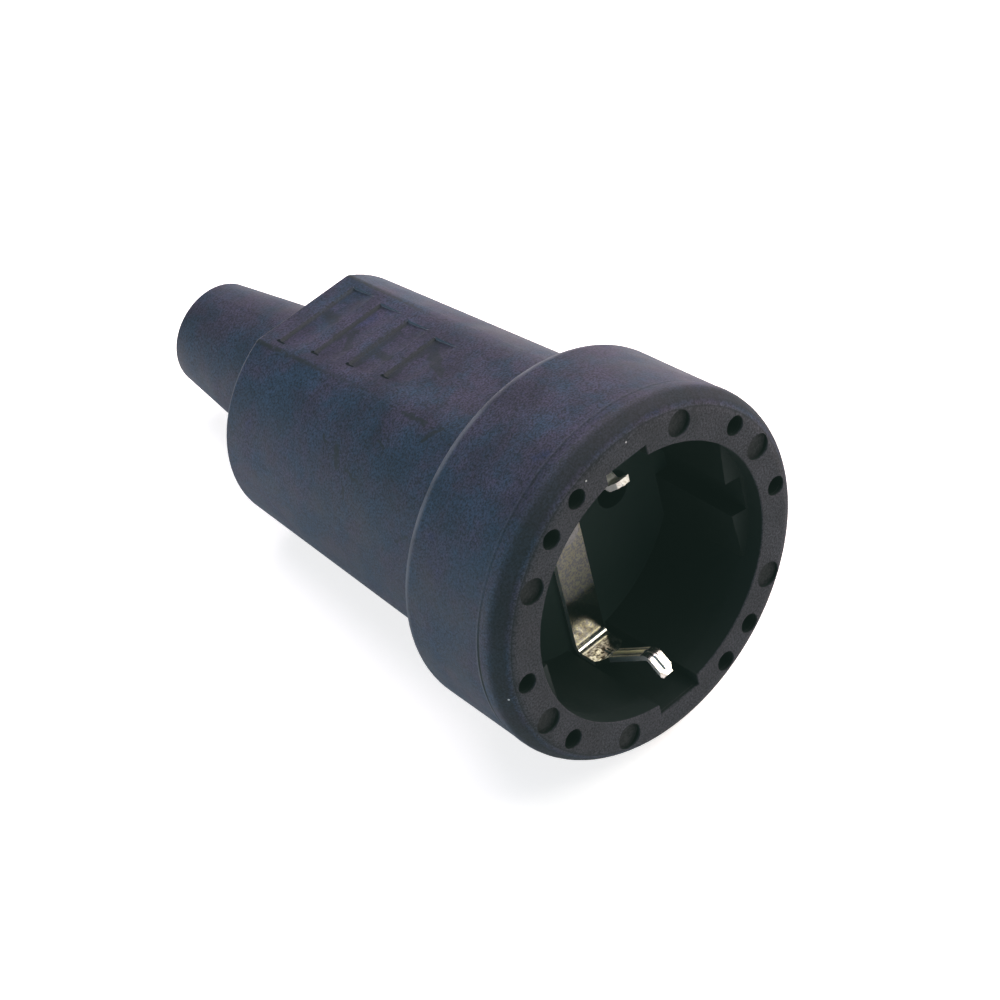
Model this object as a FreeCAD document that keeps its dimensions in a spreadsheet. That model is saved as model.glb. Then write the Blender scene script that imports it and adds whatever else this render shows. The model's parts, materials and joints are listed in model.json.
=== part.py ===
import FreeCAD
import Part
import Sketcher
import math
import os
import re

# Inline socket for round two-pin plugs with side earth clips, in millimetres.
# Pieces are drawn with the socket axis along +Y, the face at Y = 0 and the neck behind it,
# +X to the right pin and +Z to the upper earth clip. The last step lays them down on Z = 0.

SIZES = {
    # plug recess
    "recess_radius": 19.5,
    "recess_depth": 17.5,
    "mouth_bevel": 0.1,
    "ledge_setback": 2.6,
    "ledge_lead": 0.6,
    "ledge_height": 2.7,
    "ledge_notch_width": 5.6,
    "ledge_notch_wall": 0.5,
    "earth_slot_side_gap": 0.95,
    "earth_slot_back_gap": 0.5,
    # head around the recess
    "face_ring": 4.55,
    "face_rounding": 4.1,
    "face_blend": 2.5,
    "rim_setback": 4.4,
    "rim_step": 1.85,
    "head_draft": 0.7,
    "shoulder_wall": 1.15,
    "shoulder_rounding": 2.0,
    # body behind the head, round with a flat above and below
    "shoulder_step": 4.3,
    "body_taper": 3.0,
    "flat_front_drop": 1.1,
    "flat_rear_drop": 2.0,
    "flat_rear_corner": 1.2,
    "rear_wall": 2.86,
    "rear_edge_rounding": 0.5,
    # thumb grips on the flats
    "grip_setback": 3.15,
    "grip_pitch": 6.5,
    "grip_depth": 0.4,
    "grip_lean": 0.3,
    "grip_run": 4.6,
    "grip_hollow": 20.0,
    "grip_width": 13.6,
    "grip_width_step": 1.4,
    # cable neck
    "neck_length": 24.44,
    "neck_root_radius": 10.95,
    "neck_end_radius": 7.5,
    "neck_end_rounding": 0.8,
    "cable_bore_radius": 4.75,
    # holes and round marks on the front ring, angles clockwise from the upper clip
    "ring_hole_offset": 2.9,
    "ring_hole_radius": 1.45,
    "ring_hole_depth": 8.0,
    "ring_hole_angle_a": 52.5,
    "ring_hole_angle_b": 90.0,
    "ring_hole_angle_c": 142.5,
    "ring_hole_angle_d": 157.5,
    "ring_mark_offset": 2.7,
    "ring_mark_radius": 1.9,
    "ring_mark_depth": 0.7,
    "ring_mark_angle_a": 24.5,
    "ring_mark_angle_b": 69.0,
    "ring_mark_angle_c": 124.5,
    # contact carrier and its cover
    "insert_clearance": 0.1,
    "carrier_flange": 1.6,
    "carrier_flange_lap": 0.8,
    "carrier_wall": 1.25,
    "carrier_length": 25.5,
    "carrier_key_width": 4.0,
    "carrier_key_height": 1.0,
    "pin_pitch": 19.0,
    "pin_hole_clearance": 0.25,
    "pin_hole_length": 3.5,
    "cover_thickness": 2.5,
    "wire_hole_radius": 2.0,
    # cord saddle on the cover, and the wiring chamber around it
    "saddle_side_height": 5.5,
    "saddle_floor_half_width": 8.5,
    "saddle_floor_height": 8.2,
    "saddle_floor": 3.0,
    "chamber_clearance": 0.3,
    "chamber_end_gap": 0.5,
    "chamber_taper": 5.0,
    # contact sleeves
    "sleeve_radius": 3.5,
    "sleeve_clearance": 0.15,
    "sleeve_web": 0.7,
    "pin_bore_radius": 2.45,
    "sleeve_slot": 0.8,
    "sleeve_slot_length": 12.0,
    "spring_setback": 3.5,
    "spring_width": 2.0,
    "spring_wall": 0.45,
    "spring_groove": 0.5,
    "spring_gap": 1.2,
    "terminal_bore_radius": 1.5,
    "terminal_bore_depth": 4.8,
    "terminal_screw_setback": 3.5,
    "terminal_screw_radius": 1.5,
    "terminal_screw_tip": 0.6,
    "terminal_head_radius": 2.4,
    "terminal_head_height": 1.8,
    "terminal_access_clearance": 0.6,
    "thread_clearance": 0.02,
    "screw_slot": 0.8,
    # earth strip
    "strip_width": 5.1,
    "strip_thickness": 0.8,
    "strip_bend": 1.35,
    "strip_arm_offset": 0.5,
    "strip_arm_length": 4.1,
    "tongue_width": 2.1,
    "tongue_taper": 1.2,
    "tongue_root": 0.8,
    "tongue_root_bend": 2.0,
    "tongue_apex_depth": 3.9,
    "tongue_apex_reach": 5.3,
    "tongue_apex_bend": 1.0,
    "tongue_tip_depth": 1.2,
    "tongue_tip_reach": 3.15,
    "tongue_tip_corner": 0.5,
    "rib_radius": 0.55,
    "rib_lead": 0.5,
    "rib_setback": 0.6,
    # earth stud with its washer and nut
    "stud_radius": 1.5,
    "stud_hole_clearance": 0.1,
    "stud_head_lip": 0.4,
    "stud_head_height": 0.5,
    "stud_end": 0.8,
    "washer_radius": 3.5,
    "washer_thickness": 0.5,
    "nut_across_flats": 5.5,
    "nut_height": 2.4,
    # cord clamp
    "clamp_length": 7.0,
    "clamp_setback": 0.5,
    "clamp_arch": 2.0,
    "clamp_lug_height": 2.2,
    "clamp_screw_radius": 1.3,
    "clamp_screw_reach": 5.0,
    "clamp_hole_radius": 1.5,
    "clamp_head_radius": 2.1,
    "clamp_head_height": 1.7,
    "clamp_head_gap": 0.05,
}

FULL_TURN = 360
GRIP_COUNT = 4
NUT_SIDES = 6
HOLE_ANGLES = ["ring_hole_angle_a", "ring_hole_angle_b", "ring_hole_angle_c", "ring_hole_angle_d"]
MARK_ANGLES = ["ring_mark_angle_a", "ring_mark_angle_b", "ring_mark_angle_c"]
SIDES = {"left": "-1", "right": "1"}
TOLERANCE = 1e-4

doc = FreeCAD.newDocument("InlineSocket")
dims = doc.addObject("Spreadsheet::Sheet", "dims")
for row, (alias, number) in enumerate(SIZES.items(), start=1):
    dims.set(f"A{row}", alias)
    dims.set(f"B{row}", str(number))
    dims.setAlias(f"B{row}", alias)
doc.recompute()

nodes = {}


# Places along the axis that several pieces share
FLANGE_REAR = "(recess_depth + carrier_flange)"
HEAD_REAR = f"({FLANGE_REAR} + shoulder_wall)"
CHAMBER_FRONT = "(recess_depth + pin_hole_length)"
CARRIER_REAR = "(recess_depth + carrier_length)"
COVER_REAR = f"({CARRIER_REAR} + cover_thickness)"
WASHER_REAR = f"({COVER_REAR} + washer_thickness)"
SADDLE_FRONT = f"({WASHER_REAR} + nut_height)"
SADDLE_LENGTH = "(clamp_length + 2 * clamp_setback)"
SADDLE_REAR = f"({SADDLE_FRONT} + {SADDLE_LENGTH})"
CHAMBER_REAR = f"({SADDLE_REAR} + chamber_end_gap)"
TAPER_REAR = f"({CHAMBER_REAR} + chamber_taper)"
BODY_REAR = f"({TAPER_REAR} + rear_wall)"
NECK_END = f"({BODY_REAR} + neck_length)"
TERMINAL_PLACE = f"({CARRIER_REAR} - terminal_screw_setback)"
CLAMP_FRONT = f"({SADDLE_FRONT} + clamp_setback)"
CLAMP_MIDDLE = f"({CLAMP_FRONT} + clamp_length / 2)"
STRIP_FRONT = "(recess_depth - strip_thickness)"
STRIP_SHOULDER = "(recess_depth - strip_arm_length)"
RIB_ROOT = f"({STRIP_SHOULDER} + rib_lead)"

# Radii, heights and offsets from the axis
FACE_RADIUS = "(recess_radius + face_ring)"
RIM_RADIUS = f"({FACE_RADIUS} + rim_step)"
HEAD_REAR_RADIUS = f"({RIM_RADIUS} - head_draft)"
BODY_FRONT_RADIUS = f"({HEAD_REAR_RADIUS} - shoulder_step)"
BODY_REAR_RADIUS = f"({BODY_FRONT_RADIUS} - body_taper)"
FLAT_FRONT_HEIGHT = f"({BODY_FRONT_RADIUS} - flat_front_drop)"
FLAT_REAR_HEIGHT = f"({BODY_REAR_RADIUS} - flat_rear_drop)"
LEDGE_OFFSET = "(recess_radius - ledge_height)"
HALF_PITCH = "(pin_pitch / 2)"
FLANGE_RADIUS = "(recess_radius + carrier_flange_lap)"
CARRIER_RADIUS = f"({HALF_PITCH} + sleeve_radius + sleeve_clearance + carrier_wall)"
CLAMP_SCREW_OFFSET = "(cable_bore_radius + clamp_arch + clamp_head_radius + clamp_head_gap)"
SADDLE_HALF_WIDTH = f"({CLAMP_SCREW_OFFSET} + clamp_head_radius)"
CHAMBER_RADIUS = f"(sqrt({SADDLE_HALF_WIDTH} ^ 2 + saddle_side_height ^ 2) + chamber_clearance)"
SPRING_RADIUS = "(sleeve_radius - spring_groove)"
STUD_HOLE_RADIUS = "(stud_radius + stud_hole_clearance)"
ARM_HEIGHT = "(recess_radius + strip_arm_offset)"
APEX_HEIGHT = f"({ARM_HEIGHT} - tongue_apex_reach)"
TIP_HEIGHT = f"({ARM_HEIGHT} - tongue_tip_reach)"
# The flats' front corners are as soft as keeps the round sides conical
FLAT_FRONT_CORNER = (f"({BODY_FRONT_RADIUS} - flat_front_drop"
                     f" * ({BODY_REAR_RADIUS} - flat_rear_corner) / flat_rear_drop)")


def bound(text):
    """Expression with every size name pointing at its cell."""
    def cell(word):
        name = word.group()
        return f"dims.{name}" if name in SIZES else name
    return re.sub(r"[a-z][a-z_]*", cell, text)


def value(text):
    """Number that an expression of sizes gives."""
    return float(dims.evalExpression(bound(text)))


def flat_height(depth):
    """Height of the sloping flats above the axis at a depth behind the face."""
    slope = f"({FLAT_FRONT_HEIGHT} - {FLAT_REAR_HEIGHT}) / ({BODY_REAR} - {HEAD_REAR})"
    return f"({FLAT_REAR_HEIGHT} + {slope} * ({BODY_REAR} - {depth}))"


# Sketch helpers

def sketch_on(body, name, role, offset="0"):
    """Sketch on one of the body's own origin planes, moved along the plane's normal."""
    plane = next(feature for feature in body.Origin.OriginFeatures if feature.Role == role)
    sketch = body.newObject("Sketcher::SketchObject", name)
    sketch.AttachmentSupport = [(plane, "")]
    sketch.MapMode = "FlatFace"
    sketch.setExpression("AttachmentOffset.Base.z", bound(offset))
    return sketch


def across(body, name, depth):
    """Sketch square to the axis at a depth, with X to the right and Z up."""
    return sketch_on(body, name, "XZ_Plane", f"-({depth})")


def hold(sketch, item, end, place):
    """Fix one point of a sketch item at a place given by two expressions."""
    for axis, kind, text in ((-2, "DistanceX", place[0]), (-1, "DistanceY", place[1])):
        if text == "0":
            sketch.addConstraint(Sketcher.Constraint("PointOnObject", item, end, axis))
        else:
            index = sketch.addConstraint(Sketcher.Constraint(kind, -1, 1, item, end, value(text)))
            sketch.setExpression(f"Constraints[{index}]", bound(text))


def set_radius(sketch, item, text):
    index = sketch.addConstraint(Sketcher.Constraint("Radius", item, value(text)))
    sketch.setExpression(f"Constraints[{index}]", bound(text))


def point(place):
    return FreeCAD.Vector(value(place[0]), value(place[1]), 0)


def line(sketch, start, end):
    return sketch.addGeometry(Part.LineSegment(point(start), point(end)))


def outline(sketch, corners):
    """Closed outline of straight sides through the given corners."""
    first = None
    last = None
    for start, end in zip(corners, corners[1:] + corners[:1]):
        side = line(sketch, start, end)
        if last is not None:
            sketch.addConstraint(Sketcher.Constraint("Coincident", last, 2, side, 1))
        hold(sketch, side, 1, start)
        first = side if first is None else first
        last = side
    sketch.addConstraint(Sketcher.Constraint("Coincident", last, 2, first, 1))


def circle(sketch, place, radius):
    item = sketch.addGeometry(Part.Circle(point(place), FreeCAD.Vector(0, 0, 1), value(radius)))
    hold(sketch, item, 3, place)
    set_radius(sketch, item, radius)


def arc_between(sketch, start, end, radius, centre_side):
    """Arc of a radius from start to end, bulging away from the side its centre is on."""
    first = point(start)
    last = point(end)
    chord = last - first
    middle = (first + last) * 0.5
    reach = value(radius)
    sagitta = reach - math.sqrt(reach ** 2 - (chord.Length / 2) ** 2)
    away = FreeCAD.Vector(chord.y, -chord.x, 0).normalize() * sagitta * centre_side
    item = sketch.addGeometry(Part.Arc(first, middle + away, last))
    set_radius(sketch, item, radius)
    return item


def near_end(sketch, item, place):
    """Which end of an item, 1 or 2, lies at a place."""
    gaps = {end: (sketch.getPoint(item, end) - place).Length for end in (1, 2)}
    return min(gaps, key=gaps.get)


def bent_path(sketch, stops, bends):
    """Open path through stops, with an arc of the given radius at each inner one."""
    places = [point(stop) for stop in stops]
    starts = [places[0]]
    ends = []
    arcs = []
    for before, here, after, bend in zip(places, places[1:], places[2:], bends):
        back = (before - here).normalize()
        ahead = (after - here).normalize()
        half = back.getAngle(ahead) / 2
        reach = value(bend)
        trim = reach / math.tan(half)
        inward = (back + ahead).normalize()
        crown = here + inward * (reach / math.sin(half) - reach)
        ends.append(here + back * trim)
        starts.append(here + ahead * trim)
        arcs.append(sketch.addGeometry(Part.Arc(ends[-1], crown, starts[-1])))
    ends.append(places[-1])
    runs = [sketch.addGeometry(Part.LineSegment(a, b)) for a, b in zip(starts, ends)]
    for index, (arc, bend) in enumerate(zip(arcs, bends)):
        run_in = near_end(sketch, arc, ends[index])
        run_out = near_end(sketch, arc, starts[index + 1])
        sketch.addConstraint(Sketcher.Constraint("Tangent", runs[index], 2, arc, run_in))
        sketch.addConstraint(Sketcher.Constraint("Tangent", arc, run_out, runs[index + 1], 1))
        set_radius(sketch, arc, bend)
        corner = sketch.addGeometry(Part.Point(places[index + 1]), True)
        hold(sketch, corner, 1, stops[index + 1])
        sketch.addConstraint(Sketcher.Constraint("PointOnObject", corner, 1, runs[index]))
        sketch.addConstraint(Sketcher.Constraint("PointOnObject", corner, 1, runs[index + 1]))
    hold(sketch, runs[0], 1, stops[0])
    hold(sketch, runs[-1], 2, stops[-1])


# Feature helpers

def new_body(label):
    body = doc.addObject("PartDesign::Body", f"{label}_body")
    body.Label = label
    nodes[label] = body
    return body


def revolve(body, name, sketch, kind="PartDesign::Revolution"):
    feature = body.newObject(kind, name)
    feature.Profile = sketch
    feature.ReferenceAxis = (sketch, ["H_Axis"])
    feature.Angle = FULL_TURN
    sketch.Visibility = False
    return feature


def extrude(body, name, sketch, length, kind="PartDesign::Pocket", back=False, both=False):
    feature = body.newObject(kind, name)
    feature.Profile = sketch
    feature.setExpression("Length", bound(length))
    feature.Reversed = back
    feature.Midplane = both
    sketch.Visibility = False
    return feature


def sweep(body, name, profile, spine):
    feature = body.newObject("PartDesign::AdditivePipe", name)
    feature.Profile = profile
    feature.Spine = spine
    return feature


def round_edges(body, name, radius, chosen):
    """Fillet on every edge of the body so far that the test picks."""
    doc.recompute()
    base = body.Tip
    picked = [f"Edge{n}" for n, edge in enumerate(base.Shape.Edges, start=1) if chosen(edge)]
    feature = body.newObject("PartDesign::Fillet", name)
    feature.Base = (base, picked)
    feature.setExpression("Radius", bound(radius))
    return feature


def is_circle(edge, depth, radius):
    """True for a round edge about the axis, at this depth and of this radius."""
    if not isinstance(edge.Curve, Part.Circle):
        return False
    return (abs(edge.Curve.Center.y - value(depth)) < TOLERANCE
            and abs(edge.Curve.Radius - value(radius)) < TOLERANCE)


def cylinder(name, radius, height, place, along):
    """Cylinder from a place, along +Y or +Z."""
    item = doc.addObject("Part::Cylinder", name)
    item.setExpression("Radius", bound(radius))
    item.setExpression("Height", bound(height))
    if along == "Y":
        item.Placement.Rotation = FreeCAD.Rotation(FreeCAD.Vector(1, 0, 0), -90)
    for axis, text in zip("xyz", place):
        item.setExpression(f"Placement.Base.{axis}", bound(text))
    return item


def box(name, lengths, place):
    """Box of three lengths from its lowest corner."""
    item = doc.addObject("Part::Box", name)
    for side, text in zip(("Length", "Width", "Height"), lengths):
        item.setExpression(side, bound(text))
    for axis, text in zip("xyz", place):
        item.setExpression(f"Placement.Base.{axis}", bound(text))
    return item


def fuse(name, items):
    joined = doc.addObject("Part::MultiFuse", name)
    joined.Shapes = items
    return joined


def cut(name, base, tool):
    left = doc.addObject("Part::Cut", name)
    left.Base = base
    left.Tool = tool
    return left


def keep(label, item):
    item.Label = label
    nodes[label] = item


# Rubber housing

def body_section(body, name, depth, radius, height, corner):
    """Round section with a flat above and below, and rounded corners between."""
    sketch = across(body, name, depth)
    big = value(radius)
    small = value(corner)
    top = value(height)
    centre_z = top - small
    centre_x = math.sqrt((big - small) ** 2 - centre_z ** 2)
    turn = math.atan2(centre_z, centre_x)
    normal = FreeCAD.Vector(0, 0, 1)
    quarter = math.pi / 2

    def arc(x, z, reach, start, end):
        round_line = Part.Circle(FreeCAD.Vector(x, z, 0), normal, reach)
        return sketch.addGeometry(Part.ArcOfCircle(round_line, start, end))

    def flat(x_from, x_to, z):
        return sketch.addGeometry(
            Part.LineSegment(FreeCAD.Vector(x_from, z, 0), FreeCAD.Vector(x_to, z, 0)))

    right = arc(0, 0, big, -turn, turn)
    upper_right = arc(centre_x, centre_z, small, turn, quarter)
    upper = flat(centre_x, -centre_x, top)
    upper_left = arc(-centre_x, centre_z, small, quarter, math.pi - turn)
    left = arc(0, 0, big, math.pi - turn, math.pi + turn)
    lower_left = arc(-centre_x, -centre_z, small, math.pi + turn, 3 * quarter)
    lower = flat(-centre_x, centre_x, -top)
    lower_right = arc(centre_x, -centre_z, small, 3 * quarter, 4 * quarter - turn)
    ring = [right, upper_right, upper, upper_left, left, lower_left, lower, lower_right]
    for one, following in zip(ring, ring[1:] + ring[:1]):
        sketch.addConstraint(Sketcher.Constraint("Tangent", one, 2, following, 1))
    for side in (right, left):
        sketch.addConstraint(Sketcher.Constraint("Coincident", side, 3, -1, 1))
        set_radius(sketch, side, radius)
    for bend in (upper_right, upper_left, lower_left, lower_right):
        set_radius(sketch, bend, corner)
    for level, sign in ((upper, ""), (lower, "-")):
        sketch.addConstraint(Sketcher.Constraint("Horizontal", level))
        text = f"{sign}{height}"
        index = sketch.addConstraint(Sketcher.Constraint("DistanceY", -1, 1, level, 1, value(text)))
        sketch.setExpression(f"Constraints[{index}]", bound(text))
    return sketch


def face_curve(sketch, rim):
    """Flat face and the two arcs that carry it round to the rim; gives the flat and the outer arc."""
    corner = point(("0", FACE_RADIUS))
    last = point(rim)
    chord = last - corner
    reach = value("face_rounding")
    blend = value("face_blend")
    inward = FreeCAD.Vector(chord.y, -chord.x, 0).normalize()
    centre = (corner + last) * 0.5 + inward * math.sqrt(reach ** 2 - (chord.Length / 2) ** 2)
    rise = math.sqrt((reach - blend) ** 2 - (blend - centre.x) ** 2)
    inner = FreeCAD.Vector(blend, centre.y + rise, 0)
    start = FreeCAD.Vector(0, inner.y, 0)
    join = centre + (inner - centre).normalize() * reach

    def arc(middle, radius, begin, finish):
        crown = middle + (begin + finish - middle * 2).normalize() * radius
        return sketch.addGeometry(Part.Arc(begin, crown, finish))

    flat = sketch.addGeometry(Part.LineSegment(FreeCAD.Vector(), start))
    easing = arc(inner, blend, start, join)
    rounding = arc(centre, reach, join, last)
    sketch.addConstraint(Sketcher.Constraint("PointOnObject", flat, 2, -2))
    sketch.addConstraint(Sketcher.Constraint("Tangent", flat, 2, easing, near_end(sketch, easing, start)))
    sketch.addConstraint(Sketcher.Constraint(
        "Tangent", easing, near_end(sketch, easing, join), rounding, near_end(sketch, rounding, join)))
    set_radius(sketch, easing, "face_blend")
    set_radius(sketch, rounding, "face_rounding")
    mark = sketch.addGeometry(Part.Point(corner), True)
    hold(sketch, mark, 1, ("0", FACE_RADIUS))
    sketch.addConstraint(Sketcher.Constraint("PointOnObject", mark, 1, rounding))
    return flat, rounding


def housing_outside(body):
    """Head, flattened body and neck, with the rounded outer edges."""
    head = sketch_on(body, "head_profile", "YZ_Plane")
    rim = ("rim_setback", RIM_RADIUS)
    rear = (HEAD_REAR, HEAD_REAR_RADIUS)
    foot = (HEAD_REAR, "0")
    front, rounding = face_curve(head, rim)
    side = line(head, rim, rear)
    back = line(head, rear, foot)
    axis = line(head, foot, ("0", "0"))
    finish = near_end(head, rounding, point(rim))
    head.addConstraint(Sketcher.Constraint("Coincident", rounding, finish, side, 1))
    head.addConstraint(Sketcher.Constraint("Coincident", side, 2, back, 1))
    head.addConstraint(Sketcher.Constraint("Coincident", back, 2, axis, 1))
    head.addConstraint(Sketcher.Constraint("Coincident", axis, 2, front, 1))
    for item, end, place in ((side, 1, rim), (side, 2, rear), (back, 2, foot), (front, 1, ("0", "0"))):
        hold(head, item, end, place)
    revolve(body, "head", head)

    front_section = body_section(body, "body_front_section", HEAD_REAR, BODY_FRONT_RADIUS,
                                 FLAT_FRONT_HEIGHT, FLAT_FRONT_CORNER)
    rear_section = body_section(body, "body_rear_section", BODY_REAR, BODY_REAR_RADIUS,
                                FLAT_REAR_HEIGHT, "flat_rear_corner")
    loft = body.newObject("PartDesign::AdditiveLoft", "body_loft")
    loft.Profile = front_section
    loft.Sections = [rear_section]
    loft.Ruled = True

    neck = sketch_on(body, "neck_profile", "YZ_Plane")
    outline(neck, [(BODY_REAR, "0"), (BODY_REAR, "neck_root_radius"),
                   (NECK_END, "neck_end_radius"), (NECK_END, "0")])
    revolve(body, "neck", neck)

    round_edges(body, "shoulder_edge", "shoulder_rounding",
                lambda edge: is_circle(edge, HEAD_REAR, HEAD_REAR_RADIUS))
    round_edges(body, "neck_end_edge", "neck_end_rounding",
                lambda edge: is_circle(edge, NECK_END, "neck_end_radius"))

    def on_rear_face(edge):
        box_of_edge = edge.BoundBox
        level = value(BODY_REAR)
        flat_edge = box_of_edge.YLength < TOLERANCE and abs(box_of_edge.YMin - level) < TOLERANCE
        return flat_edge and not is_circle(edge, BODY_REAR, "neck_root_radius")

    round_edges(body, "rear_edge", "rear_edge_rounding", on_rear_face)


def housing_inside(body):
    """Recess mouth, insert seat, wiring chamber and cable bore."""
    seat_radius = f"{FLANGE_RADIUS} + insert_clearance"
    barrel_radius = f"{CARRIER_RADIUS} + insert_clearance"
    mouth = sketch_on(body, "mouth_profile", "YZ_Plane")
    outline(mouth, [("0", "0"), ("0", "recess_radius + mouth_bevel"), ("mouth_bevel", "recess_radius"),
                    ("ledge_setback", "recess_radius"), ("ledge_setback + ledge_lead", LEDGE_OFFSET),
                    ("ledge_setback + ledge_lead", "0")])
    revolve(body, "mouth", mouth, "PartDesign::Groove")
    hollow = sketch_on(body, "hollow_profile", "YZ_Plane")
    outline(hollow, [("recess_depth", "0"), ("recess_depth", seat_radius), (FLANGE_REAR, seat_radius),
                     (FLANGE_REAR, barrel_radius), (COVER_REAR, barrel_radius),
                     (COVER_REAR, CHAMBER_RADIUS), (CHAMBER_REAR, CHAMBER_RADIUS),
                     (TAPER_REAR, "cable_bore_radius"), (NECK_END, "cable_bore_radius"),
                     (NECK_END, "0")])
    revolve(body, "hollow", hollow, "PartDesign::Groove")
    keyway = across(body, "keyway_outline", FLANGE_REAR)
    key_outline(keyway, "insert_clearance")
    extrude(body, "keyway", keyway, f"{COVER_REAR} - {FLANGE_REAR}")


def key_outline(sketch, clearance):
    """Section of the key under the contact carrier, grown by a clearance."""
    half = f"(carrier_key_width / 2 + {clearance})"
    foot = f"-({CARRIER_RADIUS} + carrier_key_height + {clearance})"
    root = f"-({CARRIER_RADIUS} - carrier_key_height)"
    outline(sketch, [(f"-{half}", foot), (half, foot), (half, root), (f"-{half}", root)])


def recess_section(body):
    """Recess outline between the side ledges, each with its guide notch."""
    sketch = across(body, "recess_section", "ledge_setback")
    chord = f"sqrt(recess_radius ^ 2 - {LEDGE_OFFSET} ^ 2)"
    notch = "ledge_notch_width / 2"
    reach = "(recess_radius - ledge_notch_wall)"
    right = [(LEDGE_OFFSET, f"-{chord}"), (LEDGE_OFFSET, f"-{notch}"), (reach, f"-{notch}"),
             (reach, notch), (LEDGE_OFFSET, notch), (LEDGE_OFFSET, chord)]
    left = [(f"-{x}", z.removeprefix("-") if z.startswith("-") else f"-{z}") for x, z in right]
    sides = []
    for run in (right, left):
        lines = [line(sketch, start, end) for start, end in zip(run, run[1:])]
        for one, following in zip(lines, lines[1:]):
            sketch.addConstraint(Sketcher.Constraint("Coincident", one, 2, following, 1))
        for item, place in zip(lines, run):
            hold(sketch, item, 1, place)
        hold(sketch, lines[-1], 2, run[-1])
        sides.append(lines)
    for begin, finish in ((0, 1), (1, 0)):
        start = sketch.getPoint(sides[begin][-1], 2)
        end = sketch.getPoint(sides[finish][0], 1)
        crown = FreeCAD.Vector(0, math.copysign(value("recess_radius"), start.y), 0)
        arc = sketch.addGeometry(Part.Arc(start, crown, end))
        sketch.addConstraint(Sketcher.Constraint(
            "Coincident", sides[begin][-1], 2, arc, near_end(sketch, arc, start)))
        sketch.addConstraint(Sketcher.Constraint(
            "Coincident", sides[finish][0], 1, arc, near_end(sketch, arc, end)))
        set_radius(sketch, arc, "recess_radius")
    return sketch


def ring_places(angles, reach):
    """Places on the front ring at the given angles and opposite each of them."""
    places = []
    for angle in angles:
        x = f"{reach} * sin({angle} * 1 deg)"
        z = f"{reach} * cos({angle} * 1 deg)"
        places.append((x, z))
        places.append((f"-{x}", f"-{z}"))
    return places


def rubber_housing():
    body = new_body("rubber_housing")
    housing_outside(body)
    housing_inside(body)
    extrude(body, "recess", recess_section(body), "recess_depth - ledge_setback")

    slots = across(body, "earth_slot_outline", "0")
    half = "(strip_width / 2 + earth_slot_side_gap)"
    reach = f"({ARM_HEIGHT} + strip_thickness / 2 + earth_slot_back_gap)"
    outline(slots, [(f"-{half}", f"-{reach}"), (half, f"-{reach}"), (half, reach), (f"-{half}", reach)])
    extrude(body, "earth_slots", slots, "recess_depth")

    for kind, angles in (("ring_hole", HOLE_ANGLES), ("ring_mark", MARK_ANGLES)):
        sketch = across(body, f"{kind}_outline", "0")
        for place in ring_places(angles, f"(recess_radius + {kind}_offset)"):
            circle(sketch, place, f"{kind}_radius")
        extrude(body, f"{kind}s", sketch, f"{kind}_depth")

    for step in range(GRIP_COUNT):
        wall = f"({BODY_REAR} - grip_setback - {step} * grip_pitch)"
        toe = f"({wall} - grip_run)"
        sketch = sketch_on(body, f"grip_{step}_profile", "YZ_Plane")
        climb = f"({flat_height(toe)} - {flat_height(wall)}) / grip_depth"
        crest = f"({wall} + grip_lean * (1 + {climb}))"
        for sign, centre_side in (("", -1), ("-", 1)):
            above = f"{sign}({flat_height(toe)} + grip_depth)"
            foot = (f"({wall} - grip_lean)", f"{sign}({flat_height(wall)} - grip_depth)")
            corners = [(crest, above), foot, (toe, f"{sign}{flat_height(toe)}"), (toe, above)]
            rear = line(sketch, corners[0], corners[1])
            floor = arc_between(sketch, corners[1], corners[2], "grip_hollow", centre_side)
            front = line(sketch, corners[2], corners[3])
            cap = line(sketch, corners[3], corners[0])
            low = near_end(sketch, floor, point(corners[1]))
            high = near_end(sketch, floor, point(corners[2]))
            sketch.addConstraint(Sketcher.Constraint("Coincident", rear, 2, floor, low))
            sketch.addConstraint(Sketcher.Constraint("Coincident", floor, high, front, 1))
            sketch.addConstraint(Sketcher.Constraint("Coincident", front, 2, cap, 1))
            sketch.addConstraint(Sketcher.Constraint("Coincident", cap, 2, rear, 1))
            for item, place in ((rear, corners[0]), (front, corners[2]), (cap, corners[3])):
                hold(sketch, item, 1, place)
            hold(sketch, rear, 2, corners[1])
        extrude(body, f"grip_{step}", sketch, f"grip_width - {step} * grip_width_step", both=True)


# Contact carrier and cover

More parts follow.
